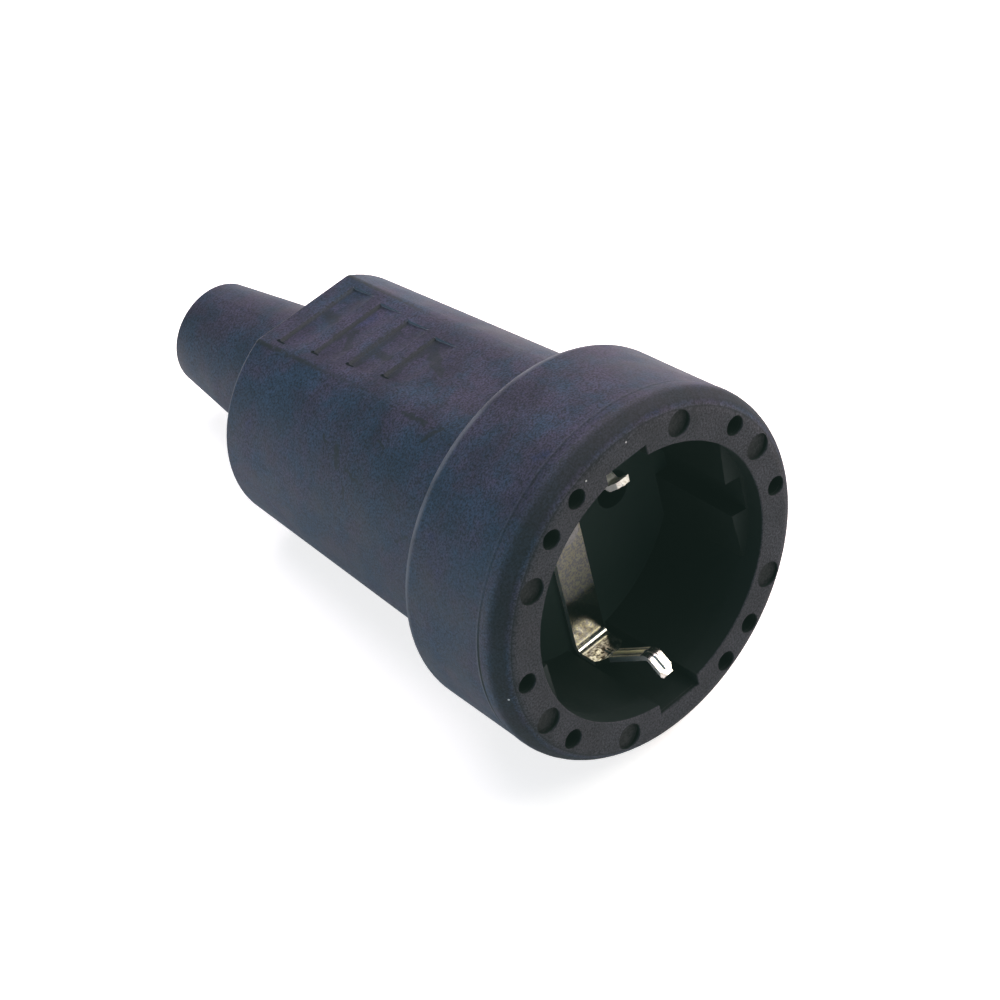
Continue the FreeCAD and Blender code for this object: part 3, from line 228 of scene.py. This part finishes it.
# Lengths in millimetres, in the socket's own axes. A pair is the two edges of a soft change, or the
# values on its two sides. A band is its middle, half width and soft edge, or only the last two.
rubberLook = {
    "colours": {
        "teal": (0.0095, 0.0190, 0.0345, 1),
        "plum": (0.0200, 0.0165, 0.0305, 1),
        "blue": (0.0095, 0.0140, 0.0390, 1),
        "ring": (0.0245, 0.0235, 0.0265, 1),
        "mark": (0.0115, 0.0110, 0.0115, 1),
        "rim": (0.0040, 0.0050, 0.0060, 1),
        "paintedShade": (0.006, 0.0105, 0.009, 1),
        "paintedHighlight": (0.070, 0.073, 0.085, 1),
        "wallLight": (0.11, 0.11, 0.125, 1),
        "dark": (0.007, 0.009, 0.011, 1),
        "dust": (0.4, 0.4, 0.38, 1),
    },
    "texture": {"grain": 3.6, "cloud": 0.16, "bump": 0.4, "bumpDepth": 0.03},
    "mottle": {
        "upward": (0.7, 0.95), "topLightTint": (-0.04, 0.05), "cloudTint": 0.85, "fleckTint": 0.15,
        "plumTint": (0.36, 0.64), "blueTint": (0.60, 0.80),
        "grains": (0.25, 0.75), "grainTone": (0.2, 1.8), "clouds": (0.3, 0.7), "cloudTone": (0.8, 1.2),
        "rearLightBand": (58.0, 6.0, 10.0), "rearLightGain": 0.15,
    },
    "face": {
        "ringDepth": (0.1, 0.6), "ringShare": 0.9, "ringRadius": (24.2, 24.3),
        "markDepth": (0.05, 0.3, 1.5, 2.0), "rimDepth": (0.3, 0.9, 1.8, 3.6), "rimShare": 0.8,
    },
    "body": {
        "start": (20.4, 20.8), "rearDepth": 64.8, "rearHeight": 15.9, "rise": 0.0876,
        "rearRadius": 17.9, "swell": 0.0675, "rearBand": (0.3, 0.3), "rearEdge": (0.3, 0.7),
    },
    "highlight": {
        "shoulder": (19.2, 0.2, 0.75), "shoulderRadius": (23.2, 24.0),
        "clouds": (0.3, 0.7), "share": (0.2, 1.0),
    },
    "darkMarks": {
        "lineInward": (0.06, 0.2), "lineSunk": (0.10, 0.35), "lineShare": (0.2, 1.0), "rearShare": 0.7,
        "flecks": (0.3, 0.55), "scuffShare": (0.4, 0.9), "hollowShadeShare": (0.45, 0.7),
        "wanderScale": 0.9, "wanderReach": 1.2,
    },
    "grip": {
        "first": 61.6, "pitch": 6.5, "count": 4, "halfWidth": 6.8, "narrowing": 0.7,
        "tickLength": 1.2, "tickHalfWidth": 0.17,
        "footSetback": 0.3, "footBand": (0.15, 0.25), "footSunk": (0.6, 0.8), "footEnd": 0.4,
        "footClouds": (0.4, 0.6), "footShare": (0.5, 0.85),
        "wallBand": (0.05, 0.1), "wallSunk": (0.0, 0.05), "wallSetback": 2.5, "wallReach": (2.6, 0.2),
    },
    "parting": {
        "radius": (24.8, 25.2), "height": (2.0, 14.0), "share": (1.0, 0.25),
        "crease": (4.5, 0.14, 0.12), "lip": (4.85, 0.08, 0.12), "lipShare": 0.5,
    },
    "paintedShade": {
        "recessRadius": (19.6, 19.9), "recessDepth": (0.1, 0.25), "holeDepth": (0.15, 0.4),
        "markFloor": (0.7, 0.03, 0.03), "end": (18.0, 19.0),
    },
    "gloss": {
        "clouds": (0.2, 0.8), "roughness": (0.50, 0.68), "frontDepth": (2.0, 5.0), "frontRoughness": 0.85,
        "specular": 0.28, "insideDim": 0.6,
    },
    # each stroke: start, end, half width
    "scuffs": [
        ((-14.5, 41.7, 12.9), (-16.0, 40.6, 11.0), 0.3),
        ((-14.0, 44.9, 13.1), (-14.9, 43.5, 12.3), 0.12),
        ((-12.3, 34.7, 15.6), (-12.9, 33.6, 15.3), 0.15),
        ((-15.9, 39.0, 11.4), (-16.6, 35.0, 10.8), 0.15),
        ((-14.7, 35.5, 13.2), (-18.3, 35.8, 7.4), 0.1),
        ((-17.2, 38.6, 9.5), (-17.9, 38.0, 8.0), 0.12),
        ((-18.9, 26.3, 7.7), (-18.5, 24.4, 9.2), 0.15),
        ((-8.2, 33.8, 18.1), (-8.4, 29.4, 18.4), 0.25),
        ((-10.1, 27.9, 17.7), (-8.2, 26.5, 18.7), 0.25),
        ((-0.1, 3.0, 26.0), (3.8, 3.8, 25.7), 0.07),
        ((-8.4, 3.1, 24.5), (-5.0, 3.1, 25.5), 0.07),
    ],
    # painted shade in the hollows of the grip steps
    "hollowShades": [
        ((-1.7, 54.8, 16.7), (0.0, 53.9, 16.5), 0.55),
        ((0.0, 53.9, 16.5), (-3.2, 51.2, 17.0), 0.35),
        ((-4.8, 48.0, 17.0), (2.8, 48.2, 17.0), 0.6),
        ((-1.2, 47.2, 17.0), (-1.7, 44.4, 17.6), 0.5),
        ((-4.2, 41.5, 17.6), (4.2, 41.7, 17.6), 0.45),
        ((3.2, 41.0, 17.7), (0.6, 37.2, 18.3), 0.6),
        ((0.6, 37.2, 18.3), (-0.5, 35.0, 18.5), 0.4),
        ((1.0, 60.6, 16.0), (0.4, 58.0, 16.3), 0.6),
    ],
    # each speck: place, half width
    "dust": [((0.6, 0.0, 23.4), 0.08), ((-6.6, 0.0, 22.3), 0.09), ((-25.1, 0.95, -1.2), 0.09)],
}


# Mottled blue-grey, greyer on the face ring and darker on the rounding around it, with painted light on top
# and at the rear
def mottleRubber(tree, look, at, grain):
    colours, mottle, face = look["colours"], look["mottle"], look["face"]
    # surfaces facing up lean to plum and the rest to teal: a painted tint of the top light
    facing = compute(tree, "DIVIDE", at["Height"], at["Radius"])
    upward = ramp(tree, facing, *mottle["upward"], *mottle["topLightTint"])
    tint = compute(tree, "MULTIPLY_ADD", grain["Tint"], mottle["cloudTint"], upward)
    tint = compute(tree, "MULTIPLY_ADD", grain["Fleck"], mottle["fleckTint"], tint)
    colour = mixColours(tree, ramp(tree, tint, *mottle["plumTint"]), colours["teal"], colours["plum"])
    colour = mixColours(tree, ramp(tree, grain["Tint"], *mottle["blueTint"]), colour, colours["blue"])

    rim = every(tree, between(tree, at["Depth"], *face["rimDepth"]), face["rimShare"])
    markFloor = every(tree, between(tree, at["Depth"], *face["markDepth"]),
                      fade(tree, at["Radius"], *face["ringRadius"]))
    ring = either(tree, ramp(tree, at["Depth"], *face["ringDepth"], face["ringShare"], 0.0), markFloor)
    ringColour = mixColours(tree, markFloor, colours["ring"], colours["mark"])
    colour = mixColours(tree, rim, colour, colours["rim"])
    colour = mixColours(tree, ring, colour, ringColour)

    # painted light: the rear of the body is lightened
    rearLight = band(tree, at["Depth"], *mottle["rearLightBand"])
    for tone in (ramp(tree, grain["Grain"], *mottle["grains"], *mottle["grainTone"]),
                 ramp(tree, grain["Cloud"], *mottle["clouds"], *mottle["cloudTone"]),
                 compute(tree, "MULTIPLY_ADD", rearLight, mottle["rearLightGain"], 1.0)):
        colour = mixColours(tree, 1.0, colour, tone, "MULTIPLY")
    return colour


# How far a place lies under the flats and inside the body's cone, and the two edges at the body's rear
def findBodyEdges(tree, body, at):
    forward = compute(tree, "SUBTRACT", body["rearDepth"], at["Depth"])
    flatHeight = compute(tree, "MULTIPLY_ADD", forward, body["rise"], body["rearHeight"])
    coneRadius = compute(tree, "MULTIPLY_ADD", forward, body["swell"], body["rearRadius"])
    sunk = compute(tree, "SUBTRACT", flatHeight, compute(tree, "ABSOLUTE", at["Height"]))
    inward = compute(tree, "SUBTRACT", coneRadius, at["Radius"])
    rearBand = band(tree, at["Depth"], body["rearDepth"], *body["rearBand"])
    roundRear = every(tree, rearBand, fade(tree, inward, *body["rearEdge"]))
    flatRear = every(tree, rearBand, fade(tree, sunk, *body["rearEdge"]),
                     ramp(tree, inward, *body["rearEdge"]))
    return {"sunk": sunk, "inward": inward, "roundRear": roundRear, "flatRear": flatRear}


# Painted highlight where the shoulder and the rear edge catch the light, broken up by clouds
def findEdgeHighlights(tree, highlight, at, grain, edges):
    shoulder = every(tree, band(tree, at["Depth"], *highlight["shoulder"]),
                     ramp(tree, at["Radius"], *highlight["shoulderRadius"]))
    return every(tree, either(tree, shoulder, edges["roundRear"]),
                 ramp(tree, grain["Cloud"], *highlight["clouds"], *highlight["share"]))


# Dark marks along the flats' edges, and scuffs and painted shade in the grip hollows, both with wandering
# outlines
def findMarksAndShade(tree, look, at, grain, edges):
    darkMarks, own = look["darkMarks"], at["Own"]
    lineShare, scuffShare, hollowShadeShare = (ramp(tree, grain["Fleck"], *darkMarks["flecks"], *darkMarks[name])
                                          for name in ("lineShare", "scuffShare", "hollowShadeShare"))
    flatLine = every(tree, fade(tree, edges["inward"], *darkMarks["lineInward"]),
                     fade(tree, edges["sunk"], *darkMarks["lineSunk"]),
                     ramp(tree, at["Depth"], *look["body"]["start"]), lineShare)
    marksAndShade = [flatLine, every(tree, edges["flatRear"], darkMarks["rearShare"])]
    noiseMiddle = (0.5, 0.5, 0.5)
    wander = vectors(tree, "SUBTRACT", noise(tree, own, darkMarks["wanderScale"], output="Color"), noiseMiddle)
    loose = vectors(tree, "ADD", own, scaleVector(tree, wander, darkMarks["wanderReach"]))
    for scuff in look["scuffs"]:
        marksAndShade.append(every(tree, drawStroke(tree, loose, *scuff), scuffShare))
    # painted shade in the grip hollows
    for hollowShade in look["hollowShades"]:
        marksAndShade.append(every(tree, drawStroke(tree, loose, *hollowShade), hollowShadeShare))
    return marksAndShade


# Each grip step gets painted shade along its foot and as a tick at its left end, and painted light on the
# wall at its right end
def findGripSteps(tree, look, at, grain, edges):
    grip, body = look["grip"], look["body"]
    footShare = ramp(tree, grain["Tint"], *grip["footClouds"], *grip["footShare"])
    footSunk = fade(tree, edges["sunk"], *grip["footSunk"])
    wallSunk = ramp(tree, edges["sunk"], *grip["wallSunk"])
    footShades, tickShades, wallLights = [], [], []
    for index in range(grip["count"]):
        step = grip["first"] - index * grip["pitch"]
        side = grip["halfWidth"] - index * grip["narrowing"]
        top = body["rearHeight"] + body["rise"] * (body["rearDepth"] - step)
        tickStart, tickEnd = (-side, step, top), (-side, step - grip["tickLength"], top)
        tickShades.append(drawStroke(tree, at["Own"], tickStart, tickEnd, grip["tickHalfWidth"]))
        width = band(tree, at["Across"], 0.0, side - grip["footEnd"], grip["footEnd"])
        footShade = band(tree, at["Depth"], step - grip["footSetback"], *grip["footBand"])
        footShades.append(every(tree, width, footSunk, footShade, footShare))
        wallLights.append(every(tree, band(tree, at["Across"], side, *grip["wallBand"]), wallSunk,
                           band(tree, at["Depth"], step - grip["wallSetback"], *grip["wallReach"])))
    return footShades, tickShades, wallLights


# The parting line around the rim: painted shade in its crease, and a painted highlight on the lip that
# catches light behind it
def findPartingLine(tree, parting, at):
    strength = every(tree, ramp(tree, at["Radius"], *parting["radius"]),
                     ramp(tree, at["Height"], *parting["height"], *parting["share"]))
    crease = every(tree, strength, band(tree, at["Depth"], *parting["crease"]))
    lip = every(tree, strength, band(tree, at["Depth"], *parting["lip"]), parting["lipShare"])
    return crease, lip


# Painted shade within the recess, the slots and the holes, leaving out the floors of the shallow marks
def findInsideShade(tree, look, at):
    paintedShade = look["paintedShade"]
    recess = every(tree, fade(tree, at["Radius"], *paintedShade["recessRadius"]),
                   ramp(tree, at["Depth"], *paintedShade["recessDepth"]))
    offMarkFloor = compute(tree, "SUBTRACT", 1.0, band(tree, at["Depth"], *paintedShade["markFloor"]))
    hole = every(tree, ramp(tree, at["Depth"], *paintedShade["holeDepth"]),
                 fade(tree, at["Radius"], *look["face"]["ringRadius"]), offMarkFloor)
    return every(tree, either(tree, recess, hole), fade(tree, at["Depth"], *paintedShade["end"]))


def makeRubber(look):
    material, tree, shader = newMaterial("mouldedRubber")
    colours, texture, gloss = look["colours"], look["texture"], look["gloss"]
    at = findPlaces(tree)
    grain = placeGroup(tree, surfaceGrain, Own=at["Own"], Grain=texture["grain"], Cloud=texture["cloud"])
    edges = findBodyEdges(tree, look["body"], at)
    edgeHighlight = findEdgeHighlights(tree, look["highlight"], at, grain, edges)
    marksAndShade = findMarksAndShade(tree, look, at, grain, edges)
    footShades, tickShades, wallLights = findGripSteps(tree, look, at, grain, edges)
    crease, lip = findPartingLine(tree, look["parting"], at)
    paintedShade = findInsideShade(tree, look, at)
    specks = [drawStroke(tree, at["Own"], spot, spot, halfWidth) for spot, halfWidth in look["dust"]]

    colour = mottleRubber(tree, look, at, grain)
    # paintedHighlight, paintedShade and wallLight are painted light and shade; dark serves the scuffs and, as
    # painted shade, the grip feet, ticks and hollows
    for masks, name in (([edgeHighlight], "paintedHighlight"), (marksAndShade + footShades + tickShades, "dark"), (wallLights, "wallLight"), ([lip], "paintedHighlight"),
                        ([crease, paintedShade], "paintedShade"), (specks, "dust")):
        colour = mixColours(tree, either(tree, *masks), colour, colours[name])
    feed(tree, shader.inputs["Base Color"], colour)

    roughness = ramp(tree, grain["Cloud"], *gloss["clouds"], *gloss["roughness"])
    front = ramp(tree, at["Depth"], *gloss["frontDepth"], gloss["frontRoughness"], 0.0)
    feed(tree, shader.inputs["Roughness"], either(tree, roughness, front))
    shader.inputs["Specular IOR Level"].default_value = gloss["specular"]
    # black metal has no gloss: it paints shade into the parting crease and the grip ticks as deep creases,
    # and dims the painted shade within the recess and holes
    dimmed = every(tree, paintedShade, gloss["insideDim"])
    feed(tree, shader.inputs["Metallic"], either(tree, crease, *tickShades, dimmed))
    addBump(tree, shader, grain["Grain"], texture["bump"], texture["bumpDepth"])
    return material


carrierLook = {
    "colour": (0.014, 0.023, 0.0195, 1),
    "lightColour": (0.017, 0.026, 0.023, 1),
    "clouds": (0.3, 0.7),
    "roughness": (0.70, 0.80),
    "specular": 0.12,
    "grain": 6.0,
    "cloud": 0.1,
    "bump": 0.2,
    "bumpDepth": 0.01,
}


def makeCarrierPlastic(look):
    material, tree, shader = newMaterial("carrierPlastic")
    at = findPlaces(tree)
    grain = placeGroup(tree, surfaceGrain, Own=at["Own"], Grain=look["grain"], Cloud=look["cloud"])
    colour = mixColours(tree, grain["Cloud"], look["colour"], look["lightColour"])
    feed(tree, shader.inputs["Base Color"], colour)
    feed(tree, shader.inputs["Roughness"], ramp(tree, grain["Cloud"], *look["clouds"], *look["roughness"]))
    shader.inputs["Specular IOR Level"].default_value = look["specular"]
    addBump(tree, shader, grain["Grain"], look["bump"], look["bumpDepth"])
    return material


# All metals are tarnished and tinted in soft patches
patinaLook = {"tarnishClouds": (0.35, 0.65), "tarnishGrain": (0.4, 0.6), "tintClouds": (0.45, 0.65),
              "tintShare": (0.0, 0.5), "roughClouds": (0.3, 0.7), "bump": 0.3}


def startMetal(look, patina):
    material, tree, shader = newMaterial(look["name"])
    at = findPlaces(tree)
    grain = placeGroup(tree, surfaceGrain, Own=at["Own"], Grain=look["speckle"], Cloud=look["patch"])
    tarnished = every(tree, ramp(tree, grain["Cloud"], *patina["tarnishClouds"]),
                      ramp(tree, grain["Grain"], *patina["tarnishGrain"]))
    tinted = ramp(tree, grain["Tint"], *patina["tintClouds"], *patina["tintShare"])
    colour = mixColours(tree, tarnished, look["colour"], look["tarnish"])
    colour = mixColours(tree, tinted, colour, look["tint"])
    addBump(tree, shader, grain["Grain"], patina["bump"], look["pitDepth"])
    return material, tree, shader, at, grain, colour


# The other metals, by material slot
metalLooks = {
    "contact_brass": {
        "name": "contactBrass", "colour": (0.74, 0.55, 0.25, 1), "tarnish": (0.45, 0.30, 0.12, 1),
        "tint": (0.80, 0.62, 0.35, 1), "roughness": (0.22, 0.42),
        "patch": 0.3, "speckle": 3.0, "pitDepth": 0.01,
    },
    "spring_steel": {
        "name": "springSteel", "colour": (0.52, 0.53, 0.55, 1), "tarnish": (0.35, 0.35, 0.38, 1),
        "tint": (0.48, 0.50, 0.56, 1), "roughness": (0.22, 0.42),
        "patch": 0.4, "speckle": 3.0, "pitDepth": 0.01,
    },
    "plated_steel": {
        "name": "zincSteel", "colour": (0.36, 0.35, 0.33, 1), "tarnish": (0.25, 0.24, 0.22, 1),
        "tint": (0.38, 0.35, 0.28, 1), "roughness": (0.42, 0.62),
        "patch": 0.4, "speckle": 3.0, "pitDepth": 0.01,
    },
}


def makeMetal(look, patina):
    material, tree, shader, _, grain, colour = startMetal(look, patina)
    roughness = ramp(tree, grain["Cloud"], *patina["roughClouds"], *look["roughness"])
    feed(tree, shader.inputs["Base Color"], colour)
    feed(tree, shader.inputs["Roughness"], roughness)
    shader.inputs["Metallic"].default_value = 1.0
    return material


# Lengths in millimetres, in the socket's own axes, with pairs and bands as for the rubber
stripLook = {
    "name": "nickelStrip",
    "colour": (0.80, 0.78, 0.70, 1),
    "tarnish": (0.46, 0.42, 0.30, 1),
    "tint": (0.66, 0.62, 0.60, 1),
    "dullColour": (0.175, 0.17, 0.19, 1),
    "ochreColour": (0.37, 0.35, 0.24, 1),
    "brownColour": (0.055, 0.038, 0.025, 1),
    "yellowHighlightColour": (0.98, 0.92, 0.50, 1),
    "cutHighlightColour": (0.90, 0.88, 0.80, 1),
    "patch": 0.5,
    "speckle": 3.5,
    "pitDepth": 0.012,
    "ochreGrain": (0.4, 0.6),
    "floorDepth": (16.4, 16.6),
    "floorShare": 0.9,
    "washDepth": (12.2, 12.6, 14.4, 14.8),
    "washFlecks": (0.4, 0.6),
    "ribDepth": (5.0, 5.6, 11.8, 12.4),
    "ribCrest": (0.2, 0.45),
    "crestShare": (1.0, 0.3),
    "ribFoot": (0.58, 0.06, 0.1),
    "stains": [((-2.4, 16.7, -12.0), (2.4, 16.7, -16.4), 0.7),
               ((-2.6, 15.1, -19.6), (2.6, 15.1, -19.6), 0.35)],
    "stainGrain": (0.35, 0.65),
    "stainShare": (0.5, 1.0),
    "cutFacing": (0.9, 0.97),
    "metallic": (1.0, 0.2),
    "dullHeight": (-13.0, -9.0),
    "roughness": (0.22, 0.55),
}


# The strip is dull on the recess floor and brown at its fold; its rib is yellowish with a painted highlight
# on the crest and painted shade at the foot, and its cut edges carry a painted highlight
def makeStrip(look, patina):
    material, tree, shader, at, grain, colour = startMetal(look, patina)
    own, depth = at["Own"], at["Depth"]
    ochre = ramp(tree, grain["Grain"], *look["ochreGrain"])
    dull = mixColours(tree, ochre, look["dullColour"], look["ochreColour"])
    floor = ramp(tree, depth, *look["floorDepth"], 0.0, look["floorShare"])
    wash = every(tree, between(tree, depth, *look["washDepth"]),
                 ramp(tree, grain["Fleck"], *look["washFlecks"]))
    rib = between(tree, depth, *look["ribDepth"])
    off = compute(tree, "ABSOLUTE", at["Across"])
    # painted highlight: the rib's crest is lightened to yellow and made less metallic
    crestHighlight = every(tree, rib, ramp(tree, off, *look["ribCrest"], *look["crestShare"]))
    # painted shade: a brown line along the rib's foot
    footShade = every(tree, rib, band(tree, off, *look["ribFoot"]))
    stainShare = ramp(tree, grain["Grain"], *look["stainGrain"], *look["stainShare"])
    stains = [every(tree, drawStroke(tree, own, *stain), stainShare) for stain in look["stains"]]
    # painted highlight: faces turned sideways, the cut edges, are near white and less metallic
    normal = addNode(tree, "TexCoord").outputs["Normal"]
    sideways = compute(tree, "ABSOLUTE", addNode(tree, "SeparateXYZ", {"Vector": normal}).outputs["X"])
    cutHighlight = ramp(tree, sideways, *look["cutFacing"])

    colour = mixColours(tree, floor, colour, dull)
    colour = mixColours(tree, wash, colour, look["brownColour"])
    colour = mixColours(tree, crestHighlight, colour, look["yellowHighlightColour"])
    for mask in (footShade, *stains):
        colour = mixColours(tree, mask, colour, look["brownColour"])
    feed(tree, shader.inputs["Base Color"], mixColours(tree, cutHighlight, colour, look["cutHighlightColour"]))
    feed(tree, shader.inputs["Metallic"], ramp(tree, either(tree, cutHighlight, crestHighlight), 0.0, 1.0, *look["metallic"]))
    dulled = either(tree, ramp(tree, at["Height"], *look["dullHeight"]), rib)
    feed(tree, shader.inputs["Roughness"], ramp(tree, dulled, 0.0, 1.0, *look["roughness"]))
    return material


finishes = {"rubber": makeRubber(rubberLook), "carrier_plastic": makeCarrierPlastic(carrierLook),
            "nickel_strip": makeStrip(stripLook, patinaLook)}
for slotName, metalLook in metalLooks.items():
    finishes[slotName] = makeMetal(metalLook, patinaLook)
print("materials made:", len(finishes))

for subpart in frame["record"]["subparts"]:
    mesh = nodes[subpart["node"]].data
    mesh.materials.clear()
    mesh.materials.append(finishes[subpart["material_slot"]])
print("materials placed")


floorLook = {"halfSize": 3.0, "colour": (0.8, 0.775, 0.75, 1), "roughness": 0.9,
             "glowColour": (1.0, 0.93, 0.88, 1), "bounce": 0.16, "glow": 0.73}


# The floor looks white to the camera, but throws less light back on the part
def makeFloor(look):
    shape = bmesh.new()
    bmesh.ops.create_grid(shape, x_segments=1, y_segments=1, size=look["halfSize"])
    mesh = bpy.data.meshes.new("floor")
    shape.to_mesh(mesh)
    shape.free()
    floor = bpy.data.objects.new("floor", mesh)
    bpy.context.scene.collection.objects.link(floor)
    material, tree, shader = newMaterial("paleFloor")
    shader.inputs["Base Color"].default_value = look["colour"]
    shader.inputs["Roughness"].default_value = look["roughness"]
    shader.inputs["Emission Color"].default_value = look["glowColour"]
    seen = addNode(tree, "LightPath").outputs["Is Camera Ray"]
    feed(tree, shader.inputs["Emission Strength"], ramp(tree, seen, 0.0, 1.0, look["bounce"], look["glow"]))
    mesh.materials.append(material)


# Places and sizes in metres, power in watts
lightLooks = {
    "sky": {"strength": 0.2, "colour": (0.55, 0.78, 1.0, 1)},
    "aim": (0.0, 0.0, 0.02),
    "softBoxes": {
        "keyBox": {"place": (0.7, 0.0, 0.6), "size": 0.6, "power": 14.5, "colour": (1.0, 0.88, 0.91)},
        "topBox": {"place": (0.1, 0.2, 0.9), "size": 0.7, "power": 6, "colour": (1.0, 0.92, 1.0)},
        "leftBox": {"place": (-0.8, 0.1, 0.3), "size": 0.5, "power": 4.2, "colour": (0.45, 0.75, 1.0)},
        "sparkBox": {"place": (0.335, -0.40, 0.60), "size": 0.3, "power": 1.6, "colour": (1.0, 0.97, 0.9)},
    },
}
worldUp = Vector((0, 0, 1))


def aimAt(place, aim, up=worldUp):
    backward = (place - aim).normalized()
    sideways = up.cross(backward).normalized()
    upward = backward.cross(sideways)
    turned = Matrix((sideways, upward, backward)).transposed().to_4x4()
    turned.translation = place
    return turned


def makeLights(looks):
    world = bpy.context.scene.world or bpy.data.worlds.new("studio")
    bpy.context.scene.world = world
    world.use_nodes = True
    sky = world.node_tree.nodes["Background"]
    sky.inputs["Color"].default_value = looks["sky"]["colour"]
    sky.inputs["Strength"].default_value = looks["sky"]["strength"]
    for name, look in looks["softBoxes"].items():
        lamp = bpy.data.lights.new(name, "AREA")
        lamp.energy = look["power"]
        lamp.size = look["size"]
        lamp.color = look["colour"]
        box = bpy.data.objects.new(name, lamp)
        box.matrix_world = aimAt(Vector(look["place"]), Vector(looks["aim"]))
        bpy.context.scene.collection.objects.link(box)


# Place, aim and up in the socket's own axes; lengths in millimetres
cameraLook = {"lens": 144.0, "sensor": 36.0, "place": (-222.33, -306.74, 338.7), "aim": (-8.25, 17.12, 11.52),
              "up": (0.55152, 0.38369, 0.74068)}


def makeCamera(look):
    data = bpy.data.cameras.new("photoCamera")
    data.lens = look["lens"]
    data.sensor_width = look["sensor"]
    camera = bpy.data.objects.new("photoCamera", data)
    bpy.context.scene.collection.objects.link(camera)
    place, aim = (Vector(look[name]) * millimetre for name in ("place", "aim"))
    camera.matrix_world = socketAxes @ aimAt(place, aim, Vector(look["up"]))
    bpy.context.scene.camera = camera


# The photograph's darkest tones are a greenish grey, not black
toneLook = {"transform": "Standard", "darkest": (0.0056, 0.0103, 0.0085)}


def setTone(look):
    view = bpy.context.scene.view_settings
    view.view_transform = look["transform"]
    view.use_curve_mapping = True
    view.curve_mapping.black_level = [-tone for tone in look["darkest"]]
    view.curve_mapping.update()


makeFloor(floorLook)
makeLights(lightLooks)
makeCamera(cameraLook)
setTone(toneLook)
print("floor, lights, camera and tone set")
